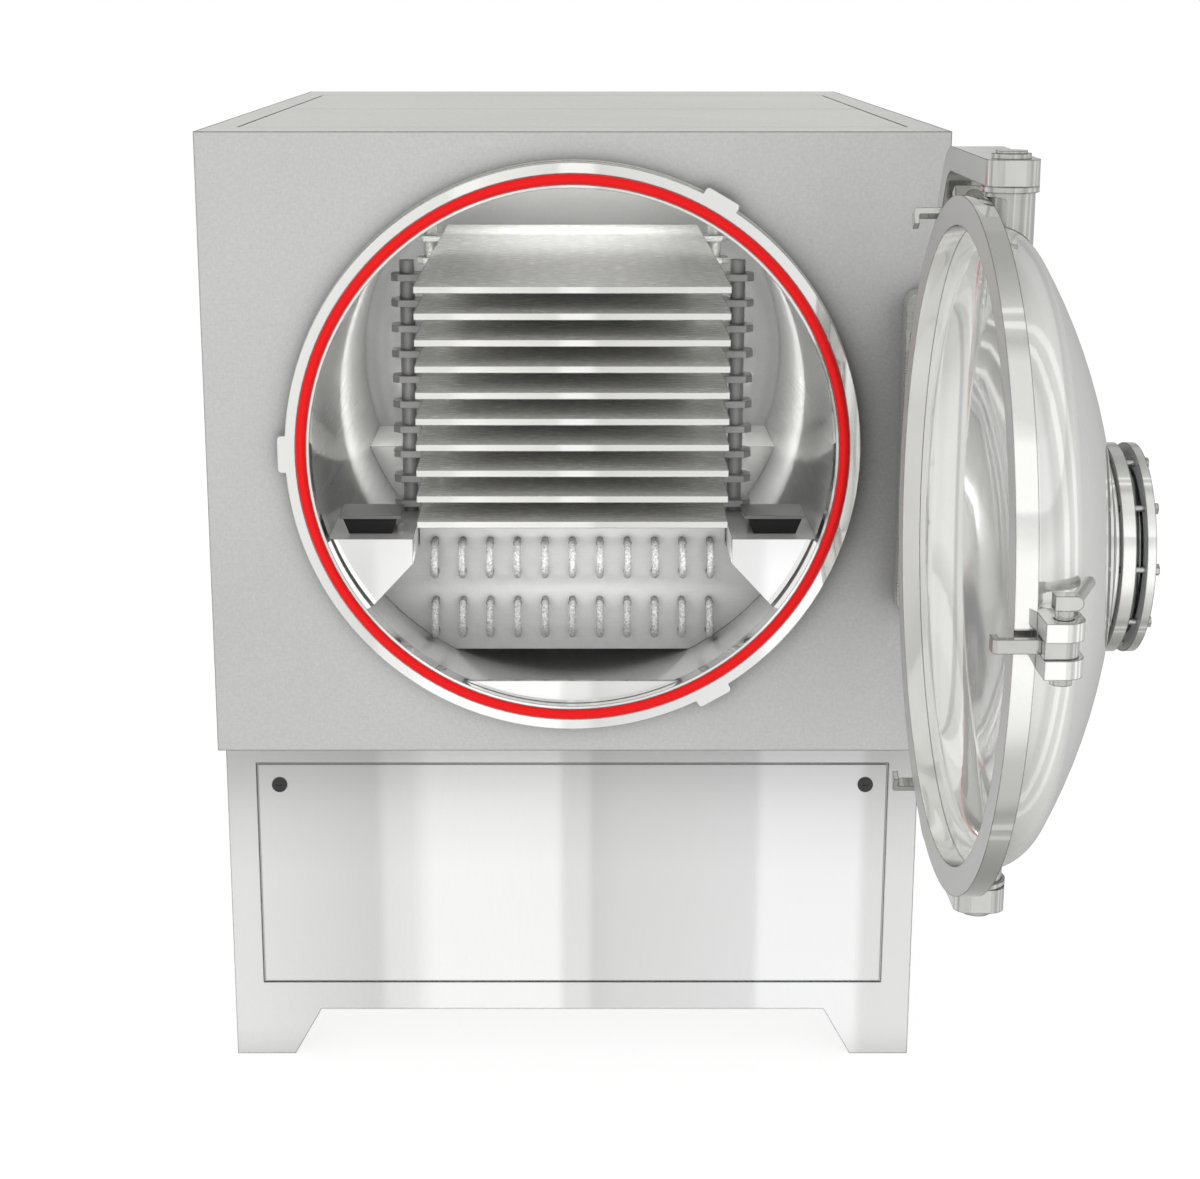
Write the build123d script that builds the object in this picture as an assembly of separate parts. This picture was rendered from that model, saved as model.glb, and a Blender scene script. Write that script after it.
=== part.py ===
"""Freeze dryer: a round vacuum chamber in a sheet-metal cabinet, with a dished door on a swinging yoke.

+X is to the right of someone who faces the machine, +Y runs into the machine and +Z is up. The pieces
are drawn with X from the machine's middle, Y from the upper cabinet's front and Z from the floor, and are
written with the origin on the floor, under the middle of the left front foot. The door and its yoke are
drawn shut, against the chamber's mouth, and are then swung open about the hinge pin. Lengths are
millimetres.
"""
import os
from math import atan2, cos, degrees, radians, sin, sqrt

from build123d import *

# ---- cabinet -------------------------------------------------------------------------------------
cabinet_width = 1400.0
base_height = 700.0
headroom = 53.0               # between the mouth ring and the cabinet's top
rear_room = 230.0             # behind the vacuum line's axis
base_setback = 100.0          # the base stands behind the upper cabinet's front plane by this much
sheet = 3.0                   # every cabinet sheet
deck_thickness = 4.0
seam = 3.0                    # gap round the service panel and the top covers
ledge_width = 20.0            # strip behind a seam that carries the panel or cover
ledge_thickness = 3.0
cover_side_border = 59.0
cover_front_border = 157.0
cover_rear_border = 273.0
panel_side_border = 60.0
panel_bottom = 161.0
panel_top_border = 60.0
plinth_height = 101.0         # underside of the base between the feet
foot_length = 121.0
foot_slope = 57.0
foot_plate_thickness = 4.0
vent_count = 9
vent_length = 420.0
vent_height = 12.0
vent_pitch = 34.0

# ---- quarter-turn latches of the service panel ---------------------------------------------------
latch_inset = 46.0            # from the panel's edges
latch_head_radius = 15.5
latch_head_height = 4.0
latch_shaft_radius = 6.0
latch_cam_length = 44.0
latch_cam_width = 14.0
latch_cam_thickness = 3.0

# ---- clearances ----------------------------------------------------------------------------------
running_gap = 0.05            # radial, a pin in its bore
seat_gap = 0.3                # a piece beside its seat

# ---- chamber -------------------------------------------------------------------------------------
chamber_clearance = 91.0      # between the base and the shell
shell_inner_radius = 505.0
shell_wall = 6.0
shell_length = 1220.0
mouth_step = 7.0              # the mouth ring's bore stands in from the shell's by this much
mouth_width = 47.0            # of the ring, from its bore to its edge
mouth_depth = 40.0            # the mouth ring stands this far in front of the cabinet
gasket_inset = 16.6           # from the mouth ring's bore to the gasket's middle
gasket_section_radius = 9.9
gasket_proud = 9.0
rear_head_straight = 20.0
rear_head_crown_radius = 900.0
rear_head_knuckle_radius = 130.0
saddle_half_width = 380.0
saddle_thickness = 12.0
saddle_inset = 200.0          # from the cabinet's front, and from the shell's rear end less one saddle
sill_height = 46.0            # the sill's straight edge above the mouth's lowest point
sill_thickness = 6.0
sill_setback = 20.0           # behind the mouth's face

# ---- keepers on the mouth ring and the clamps that hook behind them ------------------------------
clamp_angles = {"upper": 60.0, "side": 180.0, "lower": 300.0}   # about the chamber, from +X towards +Z
keeper_height = 14.0          # above the mouth ring's edge
keeper_half_length = 36.0
keeper_thickness = 8.0
clamp_pin_radius = 14.0
clamp_pin_standoff = 29.0     # from the door ring's edge to the pin's axis
knuckle_radius = 28.0
knuckle_half_span = 38.5
cheek_root = 34.0             # how far in from the door ring's edge the cheeks begin
cheek_slope = 26.0            # the cheeks' inner side leans outwards by this much
hook_half_width = 12.0
hook_bar_half_width = 10.0
hook_bar_thickness = 11.5
hook_bar_offset = 2.0         # from the pin's axis to the bar's outer face
hook_hub_radius = 22.0
hook_lip_thickness = 9.0
hook_lip_gap = 2.0            # between the hook's lip and the mouth ring's edge
hook_inner_radius = 3.0
web_thickness = 11.0
pin_end_radius = 15.0
pin_end_length = 12.5
lever_neck_radius = 12.5
lever_neck = 13.5
lever_block_length = 38.0
lever_block_offset = 4.0      # the block's middle is outwards from the pin's axis
lever_block_width = 24.0
lever_block_height = 20.0
lever_arm_length = 116.0
lever_arm_radius = 8.5
lever_angle = 68.0            # of the arm, from straight out of the door towards its centre

# ---- door ----------------------------------------------------------------------------------------
door_gap = 3.3                # between the shut door and the gasket, before the clamps draw it in
door_ring_thickness = 31.5
door_ring_step = 1.0          # the door ring's bore is wider than the mouth ring's by this much
door_wall = 6.0
door_straight = 10.0          # of the dished head, before its knuckle
door_crown_radius = 900.0
door_knuckle_radius = 75.0
door_open_angle = 90.0

# ---- sight port on the door ----------------------------------------------------------------------
port_bore_radius = 112.0
port_pad_radius = 158.0
port_pad_height = 8.0
port_neck_radius = 148.0
port_neck_height = 4.0
port_flange_radius = 164.0
port_flange_thickness = 20.0
port_glass_radius = 138.0
port_glass_thickness = 17.0
port_cover_thickness = 13.5
port_bolt_count = 10
port_bolt_radius = 5.0
port_bolt_circle = 150.0
port_bolt_head_radius = 9.0
port_bolt_head_height = 7.0

# ---- yoke, its trunnions and the cabinet hinge ---------------------------------------------------
trunnion_tube_radius = 38.5
trunnion_pin_radius = 20.0
trunnion_collar_radius = 44.0
trunnion_collar_height = 9.0
trunnion_head_radius = 30.0
trunnion_head_height = 8.0
trunnion_cap_radius = 24.0
trunnion_cap_height = 4.0
yoke_half_width = 41.0
yoke_thickness = 40.0
yoke_clearance = 16.0         # between the door ring's rim and the yoke's inside
yoke_corner = 353.0           # where the straight limb meets the sloping one, from the door's centre
yoke_slope = 56.3             # of the sloping limb, in degrees
yoke_corner_radius = 110.0
yoke_end_radius = 25.0        # of the limbs' corners beyond the trunnion pins
hinge_x = 665.6
hinge_y = -127.4
hinge_pin_radius = 18.0
hub_radius = 40.0
hub_half_length = 197.7
lug_radius = 36.0
lug_thickness = 34.0
hinge_plate_left = 621.0
hinge_plate_half_height = 310.0
hinge_plate_thickness = 50.0
hinge_plate_corner = 27.0
hinge_pin_head_radius = 27.0
hinge_pin_head_height = 10.0

# ---- shelf rack ----------------------------------------------------------------------------------
shelf_count = 10
shelf_width = 606.0
shelf_front = 55.0
shelf_overrun = 80.0          # past the shell's rear end
shelf_thickness = 13.5
shelf_pitch = 50.8
rack_drop = 177.0             # from the chamber's axis down to the brackets' top
shelf_foot = 12.5             # from the brackets' top to the lowest shelf
post_radius = 15.0
post_offset = 27.0            # from the shelf's edge to the post's axis
post_front = 281.0            # from the cabinet's front to the front posts
post_rear = 160.0             # from the shell's rear end to the rear posts
post_top_rise = 26.0          # above the top shelf
lug_reach = 58.0              # of the shelf lugs, outwards from the shelf's edge
lug_depth = 64.0
lug_corner = 14.0

# ---- brackets that carry the rack ----------------------------------------------------------------
bracket_web_x = 309.0
bracket_web_height = 49.0
bracket_slope_run = 74.0
bracket_slope_fall = 79.0
bracket_tip_radius = 10.0
bracket_sheet = 4.0
bracket_setback = 15.0        # of the front pair, from the cabinet's front
bracket_front_depth = 320.0
bracket_rear_depth = 270.0
bracket_rear_gap = 5.0        # between the rear pair and the rear head's bend
stop_inset = 26.0             # from the bracket's web to the stop's plate
stop_width = 120.0
stop_front = 60.0
stop_depth = 108.0
stop_height = 36.0
stop_plate = 6.0
stop_overhang = 7.0           # of the plate, past the top of the foot
stop_taper = 12.0             # each side of the foot leans in by this much

# ---- condenser below the rack --------------------------------------------------------------------
coil_columns = 11
coil_pitch = 55.0
coil_tube_radius = 6.0
coil_bend_radius = 32.0
coil_top_row = 73.0           # from the brackets' top down to the upper bends' middle
coil_row_pitch = 123.0
coil_rows = 2
coil_reach = 70.0             # of the bends in front of the front sheet
coil_sheet_front = 185.0
coil_sheet_rear = 120.0       # from the shell's rear end
coil_sheet_thickness = 5.0
coil_sheet_height = 269.0     # from the brackets' top to the sheets' flat lower edge
coil_sheet_gap = 2.0
coil_sheet_top_gap = 3.0
coil_rear_flange = 45.0

# ---- vacuum line, pump and compressor ------------------------------------------------------------
line_radius = 80.0
line_wall = 5.0
line_bend_radius = 160.0
line_reach = 259.0            # from the rear head to the line's axis where it has turned down
line_flange_radius = 112.0
line_flange_thickness = 20.0
pump_width = 420.0
pump_depth = 300.0
pump_height = 290.0
motor_radius = 95.0
motor_length = 300.0
compressor_radius = 115.0
compressor_height = 290.0
compressor_x = -380.0
compressor_y = 620.0

# ---- worked out from the sizes above -------------------------------------------------------------
half_width = cabinet_width / 2
shell_outer_radius = shell_inner_radius + shell_wall
inside_radius = shell_inner_radius - seat_gap
chamber_z = base_height + chamber_clearance + shell_outer_radius
mouth_inner_radius = shell_inner_radius - mouth_step
mouth_outer_radius = mouth_inner_radius + mouth_width
gasket_middle_radius = mouth_inner_radius + gasket_inset
cabinet_height = chamber_z + mouth_outer_radius + headroom
rear_head_depth = rear_head_crown_radius - sqrt((rear_head_crown_radius - rear_head_knuckle_radius) ** 2
                                                - (shell_outer_radius - rear_head_knuckle_radius) ** 2)
rear_head_apex = shell_length + rear_head_straight + rear_head_depth
line_back = rear_head_apex + line_reach
cabinet_depth = line_back + rear_room
saddle_places = (saddle_inset, shell_length - saddle_inset + saddle_thickness)
keeper_radius = mouth_outer_radius + keeper_height
origin_x = foot_length / 2 - half_width      # the middle of the left front foot
origin_y = base_setback + foot_length / 2
mouth_face = -mouth_depth
door_face = mouth_face - gasket_proud - door_gap
door_back = door_face - door_ring_thickness
door_ring_inner_radius = mouth_inner_radius + door_ring_step
door_head_radius = door_ring_inner_radius + door_wall
door_head = (-1, door_straight, door_head_radius)
rear_head = (1, rear_head_straight, shell_outer_radius)
trunnion_y = door_back - seat_gap - trunnion_tube_radius
clamp_pin_y = door_back - seat_gap - knuckle_radius
clamp_pin_distance = mouth_outer_radius + clamp_pin_standoff
yoke_inside = mouth_outer_radius + yoke_clearance
yoke_outside = yoke_inside + yoke_thickness
lug_inner_z = hub_half_length + seat_gap
panel_top = base_height - panel_top_border
panel_half_width = half_width - panel_side_border
panel_front = base_setback
latch_x = panel_half_width - latch_inset
latch_z = panel_top - latch_inset
shelf_half_width = shelf_width / 2
shelf_length = shell_length + shelf_overrun - shelf_front
bracket_top_z = chamber_z - rack_drop
bracket_spans = {"front": (bracket_setback, bracket_front_depth),
                 "rear": (shell_length + rear_head_straight - bracket_rear_gap - bracket_rear_depth,
                          bracket_rear_depth)}
shelf_bottom_z = bracket_top_z + shelf_foot
post_places = {"front": post_front, "rear": shell_length - post_rear}
post_x = shelf_half_width + post_offset
coil_row_heights = [bracket_top_z - coil_top_row - row * coil_row_pitch for row in range(coil_rows)]
coil_sheet_flat_z = bracket_top_z - coil_sheet_height
coil_rear_front = shell_length - coil_sheet_rear
shelf_top_z = shelf_bottom_z + (shelf_count - 1) * shelf_pitch + shelf_thickness
pan_top = plinth_height + deck_thickness
chamber_axis = Axis((0, 0, chamber_z), (0, 1, 0))
hinge_axis = Axis((hinge_x, hinge_y, 0), (0, 0, 1))
profile_plane = Plane(origin=(0, 0, chamber_z), x_dir=(0, 1, 0), z_dir=(1, 0, 0))   # x = Y, y = radius


def save(shape, name):
    """Write one node, moved to the origin at the left front foot."""
    solids = [Pos(-origin_x, -origin_y, 0) * solid for solid in shape.solids()]
    export_step(Compound(children=solids) if len(solids) > 1 else solids[0], "parts/" + name + ".step")


def block(x0, x1, y0, y1, z0, z1):
    """A box from its lowest and highest corners."""
    return Pos((x0 + x1) / 2, (y0 + y1) / 2, (z0 + z1) / 2) * Box(x1 - x0, y1 - y0, z1 - z0)


def rod(start, direction, radius, length):
    """A round bar from a point along a direction."""
    return Solid.make_cylinder(radius, length, Plane(origin=start, z_dir=direction))


def turned(points):
    """A ring about the chamber's axis, from its (y, radius) section."""
    section = profile_plane * make_face(Polyline(*points, close=True))
    return revolve(section, chamber_axis, 360)


def ring(y0, y1, inner, outer):
    """A plain ring about the chamber's axis."""
    return turned([(y0, inner), (y1, inner), (y1, outer), (y0, outer)])


def plate_xz(points, y0, thickness):
    """A plate that faces the front, from its outline in X and Z."""
    front = Plane(origin=(0, y0, 0), x_dir=(1, 0, 0), z_dir=(0, -1, 0))
    return extrude(front * make_face(Polyline(*points, close=True)), amount=-thickness)


def about_chamber(shape, angle):
    """Turn a piece drawn at +X to its angle about the chamber."""
    return shape.rotate(chamber_axis, -angle)


def opened(shape):
    """Swing a piece from where it is with the door shut to where it is with the door open."""
    return shape.rotate(hinge_axis, door_open_angle)


def head_curves(base, side, radius, crown, knuckle):
    """Knuckle's start, its middle, tangent point, crown's middle and apex of a dished head's section."""
    depth = crown - sqrt((crown - knuckle) ** 2 - (radius - knuckle) ** 2)
    turn = atan2(crown - depth, radius - knuckle)
    middle = (turn + radians(90)) / 2
    spots = [
        (radius, 0.0),
        (radius - knuckle + knuckle * cos(turn / 2), knuckle * sin(turn / 2)),
        (crown * cos(turn), depth - crown + crown * sin(turn)),
        (crown * cos(middle), depth - crown + crown * sin(middle)),
        (0.0, depth),
    ]
    return [(base + side * rise, out) for out, rise in spots]


def dished_head(rim, side, straight, radius, wall, crown, knuckle):
    """A dished head with a straight rim, or the whole space it fills where the wall is nothing."""
    base = rim + side * straight
    outer = head_curves(base, side, radius, crown, knuckle)
    edges = [Line((rim, radius), outer[0]), ThreePointArc(*outer[0:3]), ThreePointArc(*outer[2:5])]
    if wall:
        inner = head_curves(base, side, radius - wall, crown - wall, knuckle - wall)
        edges += [Line(outer[4], inner[4]), ThreePointArc(*inner[4:1:-1]), ThreePointArc(*inner[2::-1])]
        edges += [Line(inner[0], (rim, radius - wall)), Line((rim, radius - wall), (rim, radius))]
    else:
        edges += [Line(outer[4], (rim, 0)), Line((rim, 0), (rim, radius))]
    section = profile_plane * make_face(edges)
    return revolve(section, chamber_axis, 360)


def upper_cabinet():
    """Front, sides, rear, top frame with its two lift-off covers, and the deck."""
    hole = ring(-sheet, 2 * sheet, 0, shell_outer_radius + 2)
    front = block(-half_width, half_width, 0, sheet, base_height, cabinet_height) - hole
    save(front, "front_panel")
    inner_y = (sheet, cabinet_depth - sheet)
    save(block(-half_width, sheet - half_width, *inner_y, base_height, cabinet_height), "left_side_panel")
    save(block(half_width - sheet, half_width, *inner_y, base_height, cabinet_height), "right_side_panel")
    rear = block(-half_width, half_width, cabinet_depth - sheet, cabinet_depth, base_height, cabinet_height)
    save(rear, "rear_panel")
    inner_x = (sheet - half_width, half_width - sheet)
    deck = block(*inner_x, *inner_y, base_height, base_height + deck_thickness)
    save(deck - rod((0, line_back, base_height), (0, 0, 1), line_radius + seam, deck_thickness), "deck")

    top = cabinet_height
    cover_x = half_width - cover_side_border
    cover_y = (cover_front_border, cabinet_depth - cover_rear_border)
    middle = sum(cover_y) / 2
    frame = block(*inner_x, *inner_y, top - sheet, top)
    frame -= block(-cover_x, cover_x, *cover_y, top - sheet, top)
    ledge = block(-cover_x - ledge_width, cover_x + ledge_width, cover_y[0] - ledge_width,
                  cover_y[1] + ledge_width, top - sheet - ledge_thickness, top - sheet)
    front_window = (cover_y[0] + ledge_width, middle - ledge_width)
    rear_window = (middle + ledge_width, cover_y[1] - ledge_width)
    for window in (front_window, rear_window):
        ledge -= block(ledge_width - cover_x, cover_x - ledge_width, *window, 0, top)
    save(frame + ledge, "top_frame")
    for name, span in (("front", (cover_y[0], middle)), ("rear", (middle, cover_y[1]))):
        cover = block(seam - cover_x, cover_x - seam, span[0] + seam / 2, span[1] - seam / 2, top - sheet, top)
        save(cover, "top_cover_" + name)


def foot_outline(half_span):
    """The gap below the base between two feet, from the floor up."""
    foot = half_span - foot_length
    return [(-foot, -1), (-foot, 0), (foot_slope - foot, plinth_height), (foot - foot_slope, plinth_height),
            (foot, 0), (foot, -1)]


def base_cabinet():
    """The welded base with its feet, the pan inside it, the service panel and its two latches."""
    middle_y = (base_setback + cabinet_depth) / 2
    half_depth = (cabinet_depth - base_setback) / 2
    base = block(-half_width, half_width, base_setback, cabinet_depth, 0, base_height)
    base -= block(sheet - half_width, half_width - sheet, base_setback + sheet, cabinet_depth - sheet, 0, base_height)
    base -= plate_xz(foot_outline(half_width), 0, 2 * cabinet_depth)
    side_gap = Plane(origin=(-cabinet_width, middle_y, 0), x_dir=(0, 1, 0), z_dir=(1, 0, 0)) * make_face(
        Polyline(*foot_outline(half_depth), close=True))
    base -= extrude(side_gap, amount=2 * cabinet_width)
    for x in (-half_width, half_width - foot_length):
        for y in (base_setback, cabinet_depth - foot_length):
            base += block(x, x + foot_length, y, y + foot_length, 0, foot_plate_thickness)
    back = panel_front + sheet
    ledge = block(-panel_half_width - ledge_width, panel_half_width + ledge_width, back, back + ledge_thickness,
                  panel_bottom - ledge_width, panel_top + ledge_width)
    ledge -= block(ledge_width - panel_half_width, panel_half_width - ledge_width, back, back + ledge_thickness,
                   panel_bottom + ledge_width, panel_top - ledge_width)
    base -= block(-panel_half_width, panel_half_width, panel_front, back, panel_bottom, panel_top)
    base += ledge
    for row in range(vent_count):
        z = (base_height + plinth_height) / 2 + (row - (vent_count - 1) / 2) * vent_pitch
        for x in (-half_width / 2, half_width / 2):
            base -= block(x - vent_length / 2, x + vent_length / 2, cabinet_depth - sheet, cabinet_depth,
                          z - vent_height / 2, z + vent_height / 2)
    save(base, "base_frame")

    inside = (base_setback + sheet + ledge_thickness, cabinet_depth - sheet)
    pan = block(sheet - half_width, half_width - sheet, *inside, plinth_height, pan_top)
    save(pan, "base_pan")

    panel = block(seam - panel_half_width, panel_half_width - seam, panel_front, back, panel_bottom + seam,
                  panel_top - seam)
    for side in (-1, 1):
        panel -= rod((side * latch_x, 0, latch_z), (0, 1, 0), latch_shaft_radius + running_gap, cabinet_depth)
    save(panel, "service_panel")
    for name, side in (("left", -1), ("right", 1)):
        save(panel_latch(side), "latch_" + name)


def panel_latch(side):
    """A flat round head, its shaft through the panel, and the cam that bears behind the ledge."""
    x = side * latch_x
    cam_front = panel_front + sheet + ledge_thickness + seat_gap
    head = rod((x, panel_front - latch_head_height, latch_z), (0, 1, 0), latch_head_radius, latch_head_height)
    head = fillet(head.edges().filter_by(GeomType.CIRCLE).sort_by(Axis.Y)[0], 1.5)
    slot_width = latch_head_height / 2
    head -= block(x - latch_shaft_radius, x + latch_shaft_radius, panel_front - latch_head_height,
                  panel_front - slot_width, latch_z - slot_width / 2, latch_z + slot_width / 2)
    shaft = rod((x, panel_front - slot_width, latch_z), (0, 1, 0), latch_shaft_radius,
                cam_front + latch_cam_thickness - panel_front + slot_width)
    tip = x + side * latch_cam_length
    cam = block(min(x, tip), max(x, tip), cam_front, cam_front + latch_cam_thickness,
                latch_z - latch_cam_width / 2, latch_z + latch_cam_width / 2)
    return head + shaft + cam


def chamber():
    """Shell, rear head, saddles, mouth ring with its keepers, gasket and sill."""
    save(ring(0, shell_length, shell_inner_radius, shell_outer_radius), "chamber_shell")
    rear = dished_head(shell_length, *rear_head, shell_wall, rear_head_crown_radius, rear_head_knuckle_radius)
    save(rear - rod((0, shell_length, chamber_z), (0, 1, 0), line_radius - line_wall, cabinet_depth), "rear_head")

    floor = base_height + deck_thickness
    saddles = Part()
    for y in saddle_places:
        plate = block(-saddle_half_width, saddle_half_width, y, y + saddle_thickness, floor, chamber_z)
        saddles += plate - ring(y - 1, y + saddle_thickness + 1, 0, shell_outer_radius + seat_gap)
    save(saddles, "saddles")

    mouth = ring(mouth_face, 0, mouth_inner_radius, mouth_outer_radius)
    for angle in clamp_angles.values():
        keeper = block(mouth_outer_radius - mouth_width / 2, keeper_radius, mouth_face, mouth_face + keeper_thickness,
                       chamber_z - keeper_half_length, chamber_z + keeper_half_length)
        keeper = fillet(keeper.edges().filter_by(Axis.Y).sort_by(Axis.X)[-2:], keeper_thickness)
        mouth += about_chamber(keeper, angle)
    middle = mouth_face + gasket_section_radius - gasket_proud
    groove = gasket_section_radius + seat_gap
    mouth -= ring(mouth_face, middle + groove, gasket_middle_radius - groove, gasket_middle_radius + groove)
    save(mouth, "mouth_ring")
    section = profile_plane * Pos(middle, gasket_middle_radius) * Circle(gasket_section_radius)
    save(revolve(section, chamber_axis, 360), "gasket")

    face = mouth_face + sill_setback
    sill = ring(face, face + sill_thickness, 0, mouth_inner_radius - seat_gap)
    edge = chamber_z - mouth_inner_radius + sill_height
    sill -= block(-half_width, half_width, mouth_face, shell_length, edge, cabinet_height)
    save(sill, "sill")


def bracket_solid(side, margin, y0, length):
    """A rack bracket's outside, drawn in by a margin, from a plane towards the rear."""
    fall = bracket_slope_fall / bracket_slope_run
    web = bracket_web_x + margin
    top = bracket_top_z - margin
    fold = bracket_top_z - bracket_web_height + margin * (sqrt(1 + fall ** 2) - fall)
    low = fold - fall * (half_width - web)
    corners = [(web, top), (web, fold), (half_width, low), (half_width, top)]
    solid = plate_xz([(side * x, z) for x, z in corners], y0, length)
    return solid & rod((0, y0 - 1, chamber_z), (0, 1, 0), inside_radius - margin, length + 2)


def rack_brackets():
    """Folded brackets with closed front ends that carry the rack, and the stops on the front pair."""
    for name, (front, depth) in bracket_spans.items():
        pair = Part()
        for side in (-1, 1):
            outside = bracket_solid(side, 0, front, depth)
            outside = fillet(outside.edges().filter_by(Axis.Y).sort_by(Axis.Z)[0], bracket_tip_radius)
            inside = bracket_solid(side, bracket_sheet, front + bracket_sheet, depth)
            inside = fillet(inside.edges().filter_by(Axis.Y).sort_by(Axis.Z)[0], bracket_tip_radius - bracket_sheet)
            pair += outside - inside
        save(pair, "rack_brackets_" + name)
    save(rack_stop(-1) + rack_stop(1), "rack_stops")


def rack_stop(side):
    """A plate on a tapered foot that keeps the rack from creeping forward."""
    inner = bracket_web_x + stop_inset
    outer = inner + stop_width
    under = bracket_top_z + stop_height - stop_plate
    top_half = (inner + stop_overhang, outer - stop_overhang)
    corners = [(top_half[0] + stop_taper, bracket_top_z), (top_half[1] - stop_taper, bracket_top_z),
               (top_half[1], under), (top_half[0], under)]
    foot = plate_xz([(side * x, z) for x, z in corners], stop_front + stop_plate / 2, stop_depth - stop_plate)
    xs = sorted((side * inner, side * outer))
    return foot + block(*xs, stop_front, stop_front + stop_depth, under, under + stop_plate)


def shelf_rack():
    """Ten shelves, four posts, and the lugs that hold each shelf to each post."""
    for name, y in post_places.items():
        lugs = Part()
        posts = Part()
        for side in (-1, 1):
            x = side * post_x
            bore = rod((x, y, bracket_top_z), (0, 0, 1), post_radius + running_gap, cabinet_height)
            height = shelf_top_z + post_top_rise - bracket_top_z
            posts += rod((x, y, bracket_top_z), (0, 0, 1), post_radius, height)
            xs = sorted((side * shelf_half_width, side * (shelf_half_width + lug_reach)))
            for level in range(shelf_count):
                z = shelf_bottom_z + level * shelf_pitch
                lug = block(*xs, y - lug_depth / 2, y + lug_depth / 2, z, z + shelf_thickness)
                outer = lug.edges().filter_by(Axis.Z).sort_by(Axis.X)
                lugs += chamfer(outer[-2:] if side > 0 else outer[:2], lug_corner) - bore
        save(posts, "rack_posts_" + name)
        save(lugs, "shelf_lugs_" + name)
    for level in range(shelf_count):
        z = shelf_bottom_z + level * shelf_pitch
        shelf = block(-shelf_half_width, shelf_half_width, shelf_front, shelf_front + shelf_length, z,
                      z + shelf_thickness)
        save(shelf, "shelf_%02d" % (level + 1))


def coil_sheet(y, top):
    """A sheet that closes the space below the rack and holds the condenser's tubes."""
    end = coil_sheet_thickness + 2
    part = block(-half_width, half_width, y, y + coil_sheet_thickness, coil_sheet_flat_z, top)
    part &= rod((0, y - 1, chamber_z), (0, 1, 0), inside_radius, end)
    for side in (-1, 1):
        part -= bracket_solid(side, -coil_sheet_gap, y - 1, end)
    for x, z in coil_legs():
        part -= rod((x, y - 1, z), (0, 1, 0), coil_tube_radius + running_gap, end)
    return part


def coil_legs():
    """Centres of the condenser's straight tubes."""
    columns = [(column - (coil_columns - 1) / 2) * coil_pitch for column in range(coil_columns)]
    return [(x, z + end * coil_bend_radius) for x in columns for z in coil_row_heights for end in (-1, 1)]


def condenser():
    """Front and rear tube sheets and the hairpin tubes between them."""
    top = bracket_top_z - coil_sheet_top_gap
    front = coil_sheet(coil_sheet_front, top)
    rear = coil_sheet(coil_rear_front, top)
    web = bracket_web_x - coil_sheet_gap
    rear += block(-web, web, coil_rear_front - coil_rear_flange, coil_rear_front, top - coil_sheet_thickness, top)
    save(front + rear, "coil_sheets")
    start = coil_sheet_front - coil_reach + coil_tube_radius
    bend_y = start + coil_bend_radius
    end_y = coil_rear_front + coil_sheet_thickness
    hairpins = Part()
    for column in range(coil_columns):
        x = (column - (coil_columns - 1) / 2) * coil_pitch
        for z in coil_row_heights:
            low, high = z - coil_bend_radius, z + coil_bend_radius
            path = Wire([Edge.make_line((x, end_y, low), (x, bend_y, low)),
                         Edge.make_three_point_arc((x, bend_y, low), (x, start, z), (x, bend_y, high)),
                         Edge.make_line((x, bend_y, high), (x, end_y, high))])
            section = Plane(origin=(x, end_y, low), z_dir=(0, -1, 0)) * Circle(coil_tube_radius)
            hairpins += sweep(section, path)
    save(hairpins, "coil_tubes")


def machinery():
    """Vacuum line from the rear head, pump with its motor, and compressor."""
    start = rear_head_apex - line_bend_radius / 4
    pump_top = pan_top + pump_height
    path = Wire([Edge.make_line((0, start, chamber_z), (0, line_back - line_bend_radius, chamber_z)),
                 Edge.make_three_point_arc((0, line_back - line_bend_radius, chamber_z),
                                           (0, line_back - line_bend_radius * (1 - sin(radians(45))),
                                            chamber_z - line_bend_radius * (1 - cos(radians(45)))),
                                           (0, line_back, chamber_z - line_bend_radius)),
                 Edge.make_line((0, line_back, chamber_z - line_bend_radius), (0, line_back, pump_top))])
    pipe = Circle(line_radius) - Circle(line_radius - line_wall)
    section = Plane(origin=(0, start, chamber_z), z_dir=(0, 1, 0)) * pipe
    line = sweep(section, path)
    line -= dished_head(shell_length, *rear_head, 0, rear_head_crown_radius, rear_head_knuckle_radius)
    joint_y = rear_head_apex + line_flange_thickness
    flange = ring(joint_y, joint_y + line_flange_thickness, line_radius - line_wall, line_flange_radius)
    foot = rod((0, line_back, pump_top), (0, 0, 1), line_flange_radius, line_flange_thickness)
    foot -= rod((0, line_back, pump_top), (0, 0, 1), line_radius - line_wall, line_flange_thickness)
    save(line + flange + foot, "vacuum_line")

    pump = block(-pump_width / 2, pump_width / 2, line_back - pump_depth / 2, line_back + pump_depth / 2, pan_top,
                 pump_top)
    pump = fillet(pump.edges().filter_by(Axis.Z), line_flange_thickness)
    motor_z = pan_top + pump_height / 2
    motor = rod((pump_width / 2, line_back, motor_z), (1, 0, 0), motor_radius, motor_length)
    motor += block(pump_width / 2 + motor_length / 4, pump_width / 2 + motor_length * 3 / 4,
                   line_back - motor_radius * 3 / 4, line_back + motor_radius * 3 / 4, pan_top, motor_z)
    save(pump + motor, "pump")
    can = rod((compressor_x, compressor_y, pan_top), (0, 0, 1), compressor_radius, compressor_height)
    can = fillet(can.edges().filter_by(GeomType.CIRCLE).sort_by(Axis.Z)[-1], compressor_radius / 2)
    save(can, "compressor")


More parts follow.
